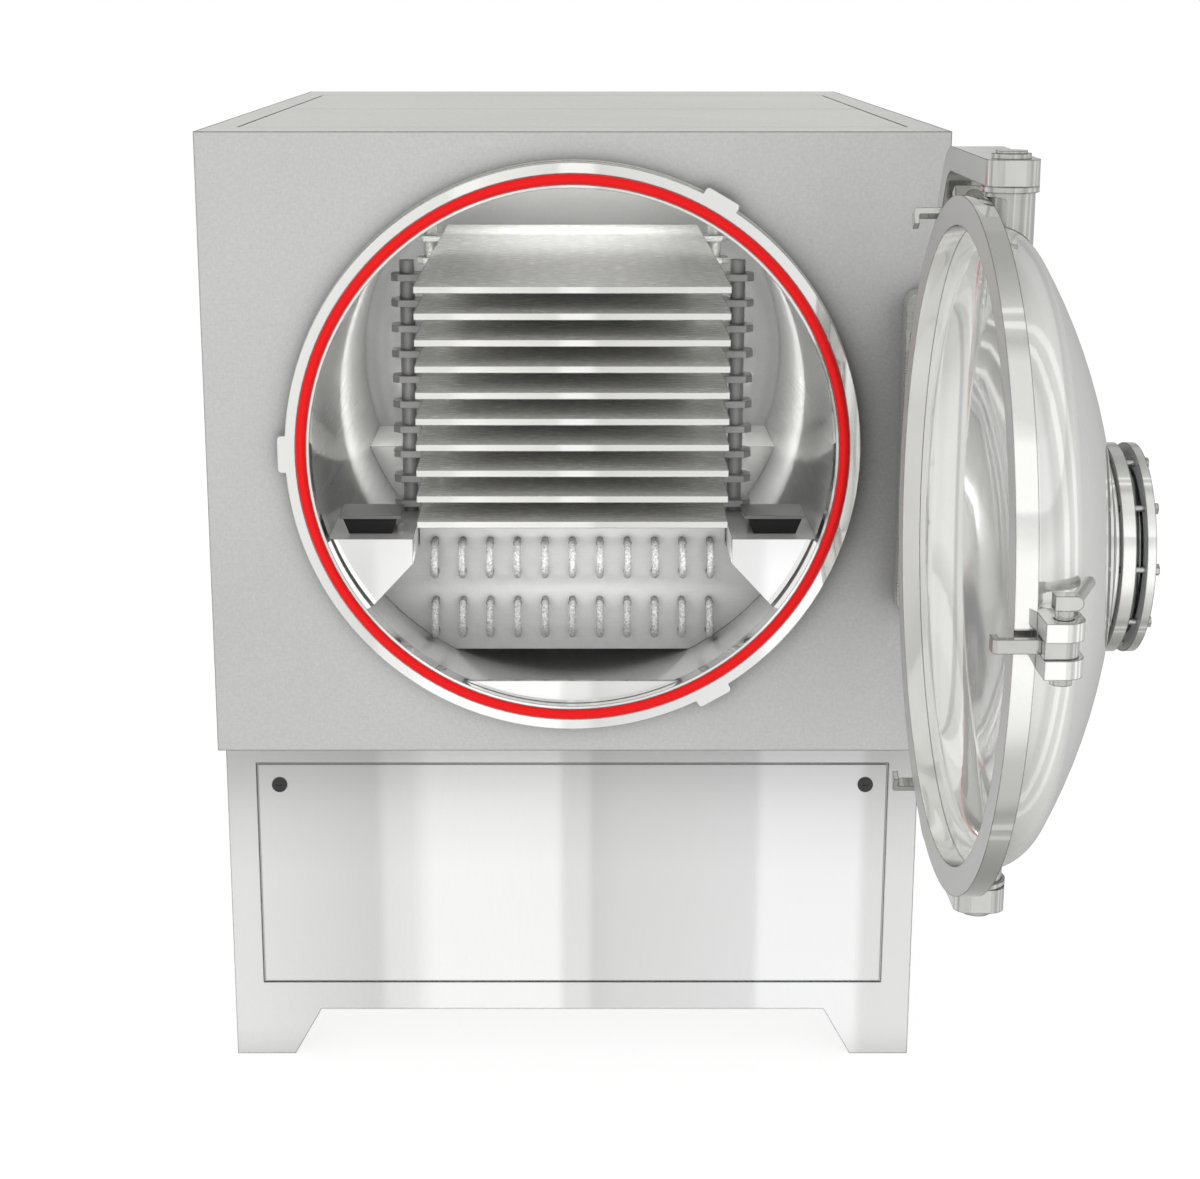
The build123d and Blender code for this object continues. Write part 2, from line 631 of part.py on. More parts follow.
def door():
    """Ring, dished head, sight port and trunnion tubes."""
    save(opened(ring(door_back, door_face, door_ring_inner_radius, mouth_outer_radius)), "door_ring")
    filled = dished_head(door_back, *door_head, 0, door_crown_radius, door_knuckle_radius)
    head = dished_head(door_back, *door_head, door_wall, door_crown_radius, door_knuckle_radius)
    apex = head_curves(door_back - door_straight, -1, door_head_radius, door_crown_radius,
                       door_knuckle_radius)[4][0]
    save(opened(head - ring(apex - 1, door_face, 0, port_bore_radius)), "door_head")

    rim_drop = door_crown_radius - sqrt(door_crown_radius ** 2 - port_pad_radius ** 2)
    pad = apex + rim_drop - port_pad_height
    neck = pad - port_neck_height
    flange = neck - port_flange_thickness
    glass = flange - port_glass_thickness
    cover = glass - port_cover_thickness
    port = turned([(apex + 2 * rim_drop, port_bore_radius), (apex + 2 * rim_drop, port_pad_radius),
                   (pad, port_pad_radius), (pad, port_neck_radius), (neck, port_neck_radius),
                   (neck, port_flange_radius), (flange, port_flange_radius), (flange, port_bore_radius)])
    port -= filled
    cover_ring = ring(cover, glass, port_bore_radius, port_flange_radius)
    bolts = Part()
    for index in range(port_bolt_count):
        angle = 180 + 360 / port_bolt_count * index
        place = (port_bolt_circle, 0, chamber_z)
        hole = about_chamber(rod((place[0], cover - 1, place[2]), (0, 1, 0), port_bolt_radius + running_gap,
                                 neck - cover + 2), angle)
        port -= hole
        cover_ring -= hole
        shank = rod((place[0], cover, place[2]), (0, 1, 0), port_bolt_radius, neck - cover)
        head = Plane(origin=(place[0], cover, place[2]), z_dir=(0, -1, 0))
        hexagon = head * RegularPolygon(port_bolt_head_radius, 6)
        bolts += about_chamber(shank + extrude(hexagon, amount=port_bolt_head_height), angle)
    save(opened(port), "sight_port")
    save(opened(ring(glass, flange, 0, port_glass_radius)), "sight_glass")
    save(opened(cover_ring), "sight_cover")
    save(opened(bolts), "sight_bolts")

    tubes = Part()
    for side in (-1, 1):
        top = yoke_inside - seat_gap
        start = (0, trunnion_y, chamber_z + side * (door_head_radius / 2))
        tube = rod(start, (0, 0, side), trunnion_tube_radius, top - door_head_radius / 2)
        collar_start = (0, trunnion_y, chamber_z + side * (top - trunnion_collar_height))
        tube += rod(collar_start, (0, 0, side), trunnion_collar_radius, trunnion_collar_height) - ring(
            door_back, door_face, 0, mouth_outer_radius)
        tube -= filled
        tube -= rod(start, (0, 0, side), trunnion_pin_radius + running_gap, top)
        tubes += tube
    save(opened(tubes), "trunnion_tubes")


def clamps():
    """Three clamps: brackets on the door ring, a hook in each, and a lever on each hook's pin."""
    brackets = Part()
    for name, angle in clamp_angles.items():
        brackets += about_chamber(clamp_bracket(), angle)
        save(opened(about_chamber(clamp_hook(), angle)), "clamp_hook_" + name)
        save(opened(about_chamber(clamp_lever(), angle)), "clamp_lever_" + name)
    save(opened(brackets), "clamp_brackets")


def clamp_bore(radius):
    """A bar along a clamp's pin, longer than the clamp."""
    start = (clamp_pin_distance, clamp_pin_y, chamber_z - 2 * knuckle_half_span)
    return rod(start, (0, 0, 1), radius, 4 * knuckle_half_span)


def clamp_bracket():
    """Two knuckles on cheeks, joined by a web that lies on the back of the door ring."""
    gap = hook_half_width + seat_gap
    root = mouth_outer_radius - cheek_root
    back = clamp_pin_y - knuckle_radius
    part = block(root, clamp_pin_distance - hook_hub_radius - seat_gap, door_back - web_thickness, door_back,
                 chamber_z - knuckle_half_span, chamber_z + knuckle_half_span)
    for low, high in ((-knuckle_half_span, -gap), (gap, knuckle_half_span)):
        part += rod((clamp_pin_distance, clamp_pin_y, chamber_z + low), (0, 0, 1), knuckle_radius, high - low)
        cheek = Plane.XY.offset(chamber_z + low) * make_face(Polyline(
            (root, door_back), (root + cheek_slope, back), (clamp_pin_distance, back),
            (clamp_pin_distance, clamp_pin_y), (clamp_pin_distance + knuckle_radius, clamp_pin_y),
            (clamp_pin_distance + knuckle_radius, door_back), close=True))
        part += extrude(cheek, amount=high - low)
    return part - clamp_bore(clamp_pin_radius + running_gap)


def clamp_hook():
    """A hub on the pin, a bar past the door ring and a lip that turns in behind the keeper."""
    lip_front = mouth_face + keeper_thickness + door_gap
    lip_back = lip_front + hook_lip_thickness
    outer = clamp_pin_distance + hook_bar_offset
    inner = outer - hook_bar_thickness
    low, high = chamber_z - hook_bar_half_width, chamber_z + hook_bar_half_width
    shape = block(inner, outer, clamp_pin_y, lip_back, low, high)
    shape += block(mouth_outer_radius + hook_lip_gap, outer, lip_front, lip_back, low, high)
    upright = shape.edges().filter_by(Axis.Z)
    root = min(upright, key=lambda edge: abs(edge.center().X - inner) + abs(edge.center().Y - lip_front))
    heel = max(upright, key=lambda edge: edge.center().X + edge.center().Y)
    shape = fillet(root, hook_inner_radius)
    heel = min(shape.edges().filter_by(Axis.Z), key=lambda edge: (edge.center() - heel.center()).length)
    shape = fillet(heel, 2 * hook_inner_radius)
    hub = rod((clamp_pin_distance, clamp_pin_y, chamber_z - hook_half_width), (0, 0, 1), hook_hub_radius,
              2 * hook_half_width)
    hub += block(clamp_pin_distance - hook_hub_radius, clamp_pin_distance + hook_hub_radius, clamp_pin_y, door_back,
                 chamber_z - hook_half_width, chamber_z + hook_half_width)
    return hub + shape - clamp_bore(clamp_pin_radius + running_gap)


def clamp_lever():
    """The clamp's pin, its plain lower end, and a block with a round arm on its upper end."""
    x, y = clamp_pin_distance, clamp_pin_y
    pin = rod((x, y, chamber_z - knuckle_half_span), (0, 0, 1), clamp_pin_radius, 2 * knuckle_half_span)
    pin += rod((x, y, chamber_z + knuckle_half_span), (0, 0, 1), pin_end_radius, pin_end_length)
    top = chamber_z - knuckle_half_span - lever_neck
    pin += rod((x, y, top), (0, 0, 1), lever_neck_radius, lever_neck)
    round_end = lever_block_height / 2
    middle = y - lever_block_offset
    back = middle - lever_block_length / 2 + round_end
    side = x - lever_block_width / 2
    lever = block(side, x + lever_block_width / 2, back, middle + lever_block_length / 2, top - lever_block_height, top)
    lever += rod((side, back, top - round_end), (1, 0, 0), round_end, lever_block_width)
    turn = radians(lever_angle)
    arm = rod((x, back, top - round_end), (-sin(turn), -cos(turn), 0), lever_arm_radius, lever_arm_length)
    arm = fillet(arm.edges().filter_by(GeomType.CIRCLE).sort_by(Axis.X)[0], lever_arm_radius / 2)
    return pin + lever + arm


def yoke_points(half):
    """The yoke's outline above or below the door's centre, seen from the front with the door shut."""
    run = hinge_x - yoke_corner
    outside = yoke_outside - run * sin(radians(yoke_slope)) / cos(radians(yoke_slope))
    drop = yoke_thickness / cos(radians(yoke_slope))
    inner_corner = yoke_corner - yoke_thickness * sin(radians(yoke_slope) / 2) / cos(radians(yoke_slope) / 2)
    end = -yoke_half_width
    return [(end, chamber_z + half * yoke_inside), (end, chamber_z + half * yoke_outside),
            (yoke_corner, chamber_z + half * yoke_outside), (hinge_x, chamber_z + half * outside),
            (hinge_x, chamber_z + half * (outside - drop)), (inner_corner, chamber_z + half * yoke_inside)]


def yoke():
    """A bent arm round the door's edge, from a hub on the cabinet hinge to the two trunnion pins."""
    arm = rod((hinge_x, hinge_y, chamber_z - hub_half_length), (0, 0, 1), hub_radius, 2 * hub_half_length)
    pins = Part()
    for half in (1, -1):
        limb = plate_xz(yoke_points(half), trunnion_y - yoke_half_width, 2 * yoke_half_width)
        corners = sorted(limb.edges().filter_by(Axis.Y), key=lambda edge: abs(edge.center().X - yoke_corner))[:2]
        outer = max(corners, key=lambda edge: abs(edge.center().Z - chamber_z))
        inner = min(corners, key=lambda edge: abs(edge.center().Z - chamber_z))
        limb = fillet(outer, yoke_corner_radius)
        inner = min(limb.edges().filter_by(Axis.Y), key=lambda edge: (edge.center() - inner.center()).length)
        limb = fillet(inner, yoke_corner_radius - yoke_thickness)
        arm += fillet(limb.edges().filter_by(Axis.Z).sort_by(Axis.X)[:2], yoke_end_radius)
        head = chamber_z + half * yoke_outside
        arm -= rod((0, trunnion_y, chamber_z), (0, 0, half), trunnion_pin_radius + running_gap, cabinet_height)
        tip = chamber_z + half * (door_head_radius + seat_gap)
        pin = rod((0, trunnion_y, tip), (0, 0, half), trunnion_pin_radius, abs(head - tip))
        pin += rod((0, trunnion_y, head), (0, 0, half), trunnion_head_radius, trunnion_head_height)
        pin += rod((0, trunnion_y, head + half * trunnion_head_height), (0, 0, half), trunnion_cap_radius,
                   trunnion_cap_height)
        pins += pin
    arm -= rod((hinge_x, hinge_y, 0), (0, 0, 1), hinge_pin_radius + running_gap, cabinet_height)
    save(opened(arm), "yoke")
    save(opened(pins), "trunnion_pins")


def cabinet_hinge():
    """A thick plate on the cabinet with two lugs, and the pin through them and the yoke's hub."""
    centre_x = (hinge_plate_left + half_width) / 2
    plate = Box(half_width - hinge_plate_left, hinge_plate_thickness, 2 * hinge_plate_half_height)
    plate = Pos(centre_x, -hinge_plate_thickness / 2, chamber_z) * plate
    plate = fillet(plate.edges().filter_by(Axis.Y), hinge_plate_corner)
    for z in (lug_inner_z, -lug_inner_z - lug_thickness):
        low, high = chamber_z + z, chamber_z + z + lug_thickness
        plate += rod((hinge_x, hinge_y, low), (0, 0, 1), lug_radius, lug_thickness)
        plate += block(hinge_x - lug_radius, min(hinge_x + lug_radius, half_width), hinge_y,
                       -hinge_plate_thickness, low, high)
    plate -= rod((hinge_x, hinge_y, 0), (0, 0, 1), hinge_pin_radius + running_gap, cabinet_height)
    save(plate, "hinge_bracket")
    reach = lug_inner_z + lug_thickness
    pin = rod((hinge_x, hinge_y, chamber_z - reach), (0, 0, 1), hinge_pin_radius, 2 * reach)
    pin += rod((hinge_x, hinge_y, chamber_z + reach), (0, 0, 1), hinge_pin_head_radius, hinge_pin_head_height)
    save(pin, "hinge_pin")


os.makedirs("parts", exist_ok=True)
upper_cabinet()
base_cabinet()
chamber()
rack_brackets()
shelf_rack()
condenser()
machinery()
door()
clamps()
yoke()
cabinet_hinge()
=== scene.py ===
from math import pi, radians

import bmesh
import bpy
from mathutils import Matrix, Vector


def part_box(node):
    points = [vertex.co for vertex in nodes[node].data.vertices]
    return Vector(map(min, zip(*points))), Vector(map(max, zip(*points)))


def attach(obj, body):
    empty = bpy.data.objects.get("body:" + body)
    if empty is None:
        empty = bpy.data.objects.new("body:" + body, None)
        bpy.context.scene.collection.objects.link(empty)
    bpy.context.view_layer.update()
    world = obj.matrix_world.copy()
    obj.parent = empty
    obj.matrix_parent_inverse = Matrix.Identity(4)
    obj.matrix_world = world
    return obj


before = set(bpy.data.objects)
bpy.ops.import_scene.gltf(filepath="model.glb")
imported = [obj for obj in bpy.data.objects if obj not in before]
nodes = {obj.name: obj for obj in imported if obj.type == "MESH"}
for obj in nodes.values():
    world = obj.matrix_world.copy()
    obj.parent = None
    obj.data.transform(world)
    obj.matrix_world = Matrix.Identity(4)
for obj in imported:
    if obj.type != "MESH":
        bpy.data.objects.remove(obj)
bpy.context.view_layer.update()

scene = bpy.context.scene
scene.view_settings.view_transform = "Standard"
print("solids loaded:", len(nodes))


# helpers: colour, shader nodes, meshes

def toLinear(hexColour):
    # the usual sRGB curve
    channels = [int(hexColour[i:i + 2], 16) / 255 for i in (1, 3, 5)]
    return tuple(c / 12.92 if c <= 0.04045 else ((c + 0.055) / 1.055) ** 2.4 for c in channels) + (1.0,)


def addNode(tree, kind, settings=None, links=None):
    # a link may start from a socket, or from a node, which stands for its first output
    node = tree.nodes.new("ShaderNode" + kind)
    for key, value in (settings or {}).items():
        if isinstance(key, int) or key in node.inputs:
            node.inputs[key].default_value = value
        else:
            setattr(node, key, value)
    for key, source in (links or {}).items():
        socket = source.outputs[0] if isinstance(source, bpy.types.Node) else source
        tree.links.new(socket, node.inputs[key])
    return node


blendColours = {"data_type": "RGBA"}
multiplyColours = {"data_type": "RGBA", "blend_type": "MULTIPLY", 0: 1.0}


def fillRamp(ramp, stops):
    # stops run from 0 to 1, each with its sRGB colour
    band = ramp.color_ramp
    band.elements[0].position, band.elements[0].color = stops[0][0], toLinear(stops[0][1])
    band.elements[1].position, band.elements[1].color = stops[-1][0], toLinear(stops[-1][1])
    for place, colour in stops[1:-1]:
        band.elements.new(place).color = toLinear(colour)


def startMaterial(name):
    material = bpy.data.materials.new(name)
    material.use_nodes = True
    material.node_tree.nodes.clear()
    return material, material.node_tree


def dress(material, *names):
    for name in names:
        slots = nodes[name].data.materials
        slots.clear()
        slots.append(material)


def addPiece(name, bm, material, body):
    bmesh.ops.remove_doubles(bm, verts=bm.verts, dist=1e-6)
    bmesh.ops.recalc_face_normals(bm, faces=bm.faces)
    for face in bm.faces:
        face.smooth = True
    mesh = bpy.data.meshes.new(name)
    bm.to_mesh(mesh)
    bm.free()
    mesh.materials.append(material)
    piece = bpy.data.objects.new(name, mesh)
    scene.collection.objects.link(piece)
    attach(piece, body)


# room: what the bright metal mirrors, and what lights the matt surfaces
# strips and walls are in degrees round from straight ahead, heights in degrees above the horizon

room = {
    "wrapLight": 0.82,            # even light on matt surfaces
    "mirrorLevel": 1.17,          # how bright the mirrored room is
    "stripReach": 12.0,           # degrees each side of straight ahead that the window strips fill
    "stripFade": 2.0,             # degrees over which they give way to the walls
    "stripChange": (-14, -12),    # heights between which the low strips give way to the high ones
    "lowStrips": [(-12, "#E2E2E1"), (-8.5, "#E0E0DF"), (-5.2, "#CFCFCE"), (-5.0, "#E1E1E0"),
                  (-4.25, "#E5E5E4"), (-4.1, "#ECECEB"), (-3.75, "#F6F6F6"), (-0.35, "#F5F5F4"),
                  (-0.25, "#DFDFDE"), (0.42, "#DFDFDE"), (0.55, "#CDCDCD"), (1.2, "#D4D4D4"),
                  (4.9, "#DDDDDE"), (5.05, "#F2F2F4"), (7.6, "#F2F2F3"), (7.8, "#DCDCDC"),
                  (9.4, "#DDDDDC"), (10.3, "#FAFAF9"), (12, "#FCFCFB")],
    "highStrips": [(-12, "#DDDDDB"), (-3.1, "#D8D8D6"), (-2.95, "#E6E6E4"), (-2.4, "#E9E9E8"),
                   (-2.25, "#E2E2DF"), (-0.35, "#D2D2CE"), (-0.28, "#EAEAE9"), (0.5, "#E9E9E8"),
                   (0.62, "#CBCBC9"), (1.3, "#D1D1CF"), (4, "#D6D6D5"), (9.4, "#DADADA"),
                   (10.3, "#FAFAF9"), (12, "#FCFCFB")],
    "stripHeights": [(-24, "#FFFFFF"), (-21.4, "#FDFDFD"), (-20.2, "#F2F2F2"), (-19.7, "#EAEAEA"),
                     (-19.2, "#DDDDDD"), (-18.6, "#CFCFCF"), (-18.25, "#CCCCCC"), (-18.15, "#FFFFFF"),
                     (0, "#FFFFFF")],
    "walls": [(-180, "#D6D7D5"), (-162, "#DEDFDD"), (-150, "#ECECEA"), (-131, "#E6E6E4"),
              (-129, "#FAFAFA"), (-108, "#F4F4F4"), (-106, "#D8D8D5"), (-92, "#D2D3D1"),
              (-90, "#ADAFAD"), (-80, "#B9BAB8"), (-78, "#E2E2E1"), (-52, "#E6E6E5"),
              (-30, "#DEDEDC"), (-14, "#E4E4E3"), (10, "#FCFCFB"), (16, "#FCFCFB"),
              (18, "#E4E4E3"), (34, "#E2E2E1"), (48, "#BFC0BF"), (66, "#D2D2D0"),
              (67, "#F2F2F1"), (80, "#F4F4F3"), (81, "#C9C9C7"), (97, "#D3D3D1"),
              (98, "#F2F2F1"), (108, "#EEEEED"), (109, "#CFCFCD"), (134, "#BBBCBA"),
              (156, "#A8A9A7"), (168, "#A6A7A5"), (172, "#DCDCDA"), (180, "#D6D7D5")],
    "heights": [(-90, "#C6C6C4"), (-58, "#D2D2D0"), (-40, "#F2F2F1"), (-25, "#FFFFFF"),
                (8, "#FFFFFF"), (16, "#E6E6E5"), (22, "#DEDFDF"), (24, "#FFFFFF"),
                (44, "#FFFFFF"), (47, "#F4F4F2"), (68, "#F4F4F2"), (90, "#EFEFEE")],
}


def buildRoom():
    world = bpy.data.worlds.new("room")
    scene.world = world
    world.use_nodes = True
    tree = world.node_tree
    tree.nodes.clear()
    axes = addNode(tree, "SeparateXYZ", links={0: addNode(tree, "TexCoord").outputs["Generated"]}).outputs
    ahead = addNode(tree, "Math", {"operation": "MULTIPLY", 1: -1.0}, {0: axes["Y"]})
    turn = addNode(tree, "Math", {"operation": "ARCTAN2"}, {0: axes["X"], 1: ahead})
    rise = addNode(tree, "Math", {"operation": "ARCSINE"}, {0: axes["Z"]})

    def spread(source, stops):
        low, high = stops[0][0], stops[-1][0]
        place = addNode(tree, "MapRange", {"From Min": radians(low), "From Max": radians(high)},
                        {"Value": source})
        ramp = addNode(tree, "ValToRGB", links={0: place})
        fillRamp(ramp, [((at - low) / (high - low), colour) for at, colour in stops])
        return ramp

    low, high = room["stripChange"]
    upper = addNode(tree, "MapRange", {"From Min": radians(low), "From Max": radians(high)}, {"Value": rise})
    strips = addNode(tree, "Mix", blendColours, {0: upper, 6: spread(turn, room["lowStrips"]),
                                                 7: spread(turn, room["highStrips"])}).outputs[2]
    strips = addNode(tree, "Mix", multiplyColours, {6: strips,
                                                    7: spread(rise, room["stripHeights"])}).outputs[2]
    rest = addNode(tree, "Mix", multiplyColours, {6: spread(turn, room["walls"]),
                                                  7: spread(rise, room["heights"])}).outputs[2]
    sideways = addNode(tree, "Math", {"operation": "ABSOLUTE"}, {0: turn})
    reach = room["stripReach"]
    away = addNode(tree, "MapRange", {"From Min": radians(reach - room["stripFade"]),
                                      "From Max": radians(reach)}, {"Value": sideways})
    mirrored = addNode(tree, "Mix", blendColours, {0: away, 6: strips, 7: rest}).outputs[2]
    path = addNode(tree, "LightPath").outputs
    white = toLinear("#FFFFFF")
    wrap = addNode(tree, "Background", {"Color": white, "Strength": room["wrapLight"]})
    seen = addNode(tree, "Background", {"Strength": room["mirrorLevel"]}, {"Color": mirrored})
    plain = addNode(tree, "Background", {"Color": white, "Strength": 1.0})
    glossy = addNode(tree, "MixShader", links={0: path["Is Glossy Ray"], 1: wrap, 2: seen})
    clear = addNode(tree, "Math", {"operation": "MAXIMUM"},
                    {0: path["Is Camera Ray"], 1: path["Is Transmission Ray"]})
    final = addNode(tree, "MixShader", links={0: clear, 1: glossy, 2: plain})
    addNode(tree, "OutputWorld", links={"Surface": final})


floorLook = {
    "reach": 9.0,                 # half its width, in metres
    "middle": (0.6, 0.8),
    "drop": 0.0006,               # below the feet
    "paper": "#F4F4F4",
    "own": 0.80,                  # light of its own, so that it stays white
    "lit": 0.30,                  # how much of the shadow shows
}


def buildFloor():
    # matt white paper that keeps only a light shadow, and that metal doesn't mirror
    material, tree = startMaterial("paperFloor")
    path = addNode(tree, "LightPath").outputs
    paper = addNode(tree, "BsdfDiffuse", {"Color": toLinear(floorLook["paper"])})
    dim = addNode(tree, "BsdfDiffuse", {"Color": (floorLook["lit"],) * 3 + (1.0,)})
    own = addNode(tree, "Emission", {"Color": toLinear("#FFFFFF"), "Strength": floorLook["own"]})
    seen = addNode(tree, "AddShader", links={0: dim, 1: own})
    matt = addNode(tree, "MixShader", links={0: path["Is Camera Ray"], 1: paper, 2: seen})
    through = addNode(tree, "BsdfTransparent")
    mirrored = addNode(tree, "Math", {"operation": "MAXIMUM"},
                       {0: path["Is Glossy Ray"], 1: path["Is Transmission Ray"]})
    final = addNode(tree, "MixShader", links={0: mirrored, 1: matt, 2: through})
    addNode(tree, "OutputMaterial", links={"Surface": final})
    bm = bmesh.new()
    bmesh.ops.create_grid(bm, x_segments=2, y_segments=2, size=floorLook["reach"])
    bmesh.ops.translate(bm, verts=bm.verts, vec=(*floorLook["middle"], -floorLook["drop"]))
    mesh = bpy.data.meshes.new("floor")
    bm.to_mesh(mesh)
    bm.free()
    mesh.materials.append(material)
    floor = bpy.data.objects.new("floor", mesh)
    scene.collection.objects.link(floor)


# sensor and lens in millimetres, place in metres, tilt in degrees
camera = {"sensor": 36, "lens": 68.27, "shift": 0.02296, "place": (0.6395, -4.4327, 2.1292), "tilt": 75.55}


def buildCamera():
    data = bpy.data.cameras.new("camera")
    data.sensor_width, data.lens, data.shift_x = camera["sensor"], camera["lens"], camera["shift"]
    data.clip_end = 100
    seen = bpy.data.objects.new("camera", data)
    seen.location, seen.rotation_euler = camera["place"], (radians(camera["tilt"]), 0, 0)
    scene.collection.objects.link(seen)
    scene.camera = seen


shellLow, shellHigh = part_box("chamber_shell")
chamberMiddle = Vector(((shellLow.x + shellHigh.x) / 2, 0, (shellLow.z + shellHigh.z) / 2))
topShelfLow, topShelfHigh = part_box("shelf_10")
vaultHeight = (topShelfHigh.z + 2 * shellHigh.z) / 3                  # between the top shelf and the shell
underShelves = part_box("shelf_01")[0].z - 0.05

# where each lamp stands, what it points to, its width and length in metres, and its watts
lamps = {
    "keyLamp": {"at": (-2.2, -5.5, 4.2), "to": (0.6, 0, 1.1), "size": (2.6, 2.6), "power": 26},
    "fillLamp": {"at": (0.64, -5.0, 0.7), "to": (0.64, 0, 0.9), "size": (2.2, 1.2), "power": 44},
    "vaultLamp": {"at": (chamberMiddle.x, topShelfHigh.y - 0.30, vaultHeight),
                  "to": (chamberMiddle.x, topShelfHigh.y - 0.299, topShelfHigh.z),
                  "size": (0.4, 0.6), "power": 0.68},
    "headLamp": {"at": (chamberMiddle.x, topShelfHigh.y - 0.25, vaultHeight),
                 "to": (chamberMiddle.x, topShelfHigh.y + 0.2, vaultHeight),
                 "size": (0.5, 0.06), "power": 1.3},
    "leftLamp": {"at": (shellLow.x + 0.15, 0.45, chamberMiddle.z + 0.1),
                 "to": (shellLow.x + 0.2, 1.4, chamberMiddle.z), "size": (0.08, 0.45), "power": 3.5},
    "rightLamp": {"at": (shellHigh.x - 0.15, 0.45, chamberMiddle.z + 0.1),
                  "to": (shellHigh.x - 0.2, 1.4, chamberMiddle.z), "size": (0.08, 0.45), "power": 3.5},
    "sumpLamp": {"at": (chamberMiddle.x, topShelfLow.y - 0.03, underShelves),
                 "to": (chamberMiddle.x, topShelfLow.y + 0.16, chamberMiddle.z - 0.38),
                 "size": (0.7, 0.03), "power": 0.6},
}


def buildLamps():
    for name, lamp in lamps.items():
        data = bpy.data.lights.new(name, "AREA")
        data.shape = "RECTANGLE"
        data.size, data.size_y = lamp["size"]
        data.energy = lamp["power"]
        holder = bpy.data.objects.new(name, data)
        holder.location = lamp["at"]
        way = Vector(lamp["to"]) - Vector(lamp["at"])
        holder.rotation_euler = way.to_track_quat("-Z", "Y").to_euler()
        holder.visible_camera = False
        holder.visible_glossy = False                                 # metal mirrors the room alone
        scene.collection.objects.link(holder)


buildRoom()
buildFloor()
buildCamera()
buildLamps()
print("room, floor, camera and lamps are up")


# finishes: grain, weft, cloud and edge are real sizes in millimetres, grain and weft along x, y and z
# threads and brush lines finer than a millimetre are drawn as coarse as they need to show
# paintedShadeReach is how far a part's colour is darkened as painted shade in corners, under overhangs and
# beside near parts, in metres

noiseBand = {"From Min": 0.3, "From Max": 0.7}         # where most of a noise's values lie
edgeBand = {"From Min": 0.985, "From Max": 0.94}       # cosines where the edge line starts and is full
faceBand = {"From Min": 0.85, "From Max": 0.97}        # cosines where a face's own polish starts and is full
paintedShadeClear = 0.8                                        # share of open sky above which no shade is painted
grainHeight = 0.0004                                   # metres
skinHeight = 0.0003                                    # the same for moulded rubber
edgeRoughness = 0.6


def sheetMetal(name, look):
    # one grain, one slow cloud of tone, a darker line along each edge and painted shade darkening the colour
    # in corners and beside near parts
    material, tree = startMaterial(name)
    coordinates = addNode(tree, "TexCoord").outputs
    place = coordinates["Object"]

    def threads(widths):
        scaled = addNode(tree, "Mapping", {"Scale": [1000 / width for width in widths]}, {"Vector": place})
        return addNode(tree, "TexNoise", {"Scale": 1.0, "Detail": 2.0, "Roughness": 0.6}, {"Vector": scaled})

    grain = threads(look["grain"])
    if "weft" in look:                                 # a second set of threads across the first
        grain = addNode(tree, "Math", {"operation": "MINIMUM"}, {0: grain, 1: threads(look["weft"])})
    cloud = addNode(tree, "TexNoise", {"Scale": 1000 / look["cloud"], "Detail": 3.0, "Roughness": 0.5},
                    {"Vector": place})
    tone = addNode(tree, "MapRange", noiseBand, {"Value": cloud})
    tones = {6: toLinear(look["shade"]), 7: toLinear(look["light"])}
    colour = addNode(tree, "Mix", {**blendColours, **tones}, {0: tone}).outputs[2]
    fleck = addNode(tree, "MapRange", {**noiseBand, "To Min": 1 - look["fleck"]}, {"Value": grain})
    colour = addNode(tree, "Mix", multiplyColours, {6: colour, 7: fleck}).outputs[2]
    # painted shade: ambient occlusion darkens the base colour where near parts hide the sky
    if "paintedShadeReach" in look:
        sky = addNode(tree, "AmbientOcclusion", {"samples": 6, "Distance": look["paintedShadeReach"]}).outputs["AO"]
        clear = addNode(tree, "MapRange", {"From Max": paintedShadeClear}, {"Value": sky})
        clear = addNode(tree, "Math", {"operation": "POWER", 1: look.get("paintedShadeCurve", 1.0)}, {0: clear})
        deep = addNode(tree, "MapRange", {"To Min": 1 - look["paintedShadeDepth"]}, {"Value": clear})
        colour = addNode(tree, "Mix", multiplyColours, {6: colour, 7: deep}).outputs[2]
    sheen = {"To Min": look["rough"] - look["spread"], "To Max": look["rough"] + look["spread"]}
    rough = addNode(tree, "MapRange", {**noiseBand, **sheen}, {"Value": grain})
    bump = addNode(tree, "Bump", {"Strength": look["relief"], "Distance": grainHeight}, {"Height": grain})
    links = {"Base Color": colour, "Roughness": rough, "Normal": bump}
    if "face" in look:                                 # faces that look one way have their own polish
        face = look["face"]
        ahead = addNode(tree, "VectorMath", {"operation": "DOT_PRODUCT", 1: face["way"]},
                        {0: coordinates["Normal"]}).outputs["Value"]
        part = addNode(tree, "MapRange", faceBand, {"Value": ahead})
        links["Metallic"] = addNode(tree, "Mix", {2: look["metal"], 3: face["metal"]}, {0: part})
        links["Roughness"] = addNode(tree, "Mix", {3: face["rough"]}, {0: part, 2: links["Roughness"]})
        links["Base Color"] = addNode(tree, "Mix", {**blendColours, 7: toLinear(face["colour"])},
                                      {0: part, 6: links["Base Color"]}).outputs[2]
    if "edge" in look:
        rounded = addNode(tree, "Bevel", {"samples": 4, "Radius": look["edge"] / 1000})
        flat = addNode(tree, "NewGeometry").outputs["Normal"]
        same = addNode(tree, "VectorMath", {"operation": "DOT_PRODUCT"}, {0: flat, 1: rounded})
        rim = addNode(tree, "MapRange", edgeBand, {"Value": same.outputs["Value"]})
        links["Base Color"] = addNode(tree, "Mix", {**blendColours, 7: toLinear(look["edgeShade"])},
                                      {0: rim, 6: links["Base Color"]}).outputs[2]
        links["Roughness"] = addNode(tree, "Mix", {3: edgeRoughness}, {0: rim, 2: links["Roughness"]})
    surface = addNode(tree, "BsdfPrincipled", {"Metallic": look["metal"]}, links)
    addNode(tree, "OutputMaterial", links={"Surface": surface})
    return material
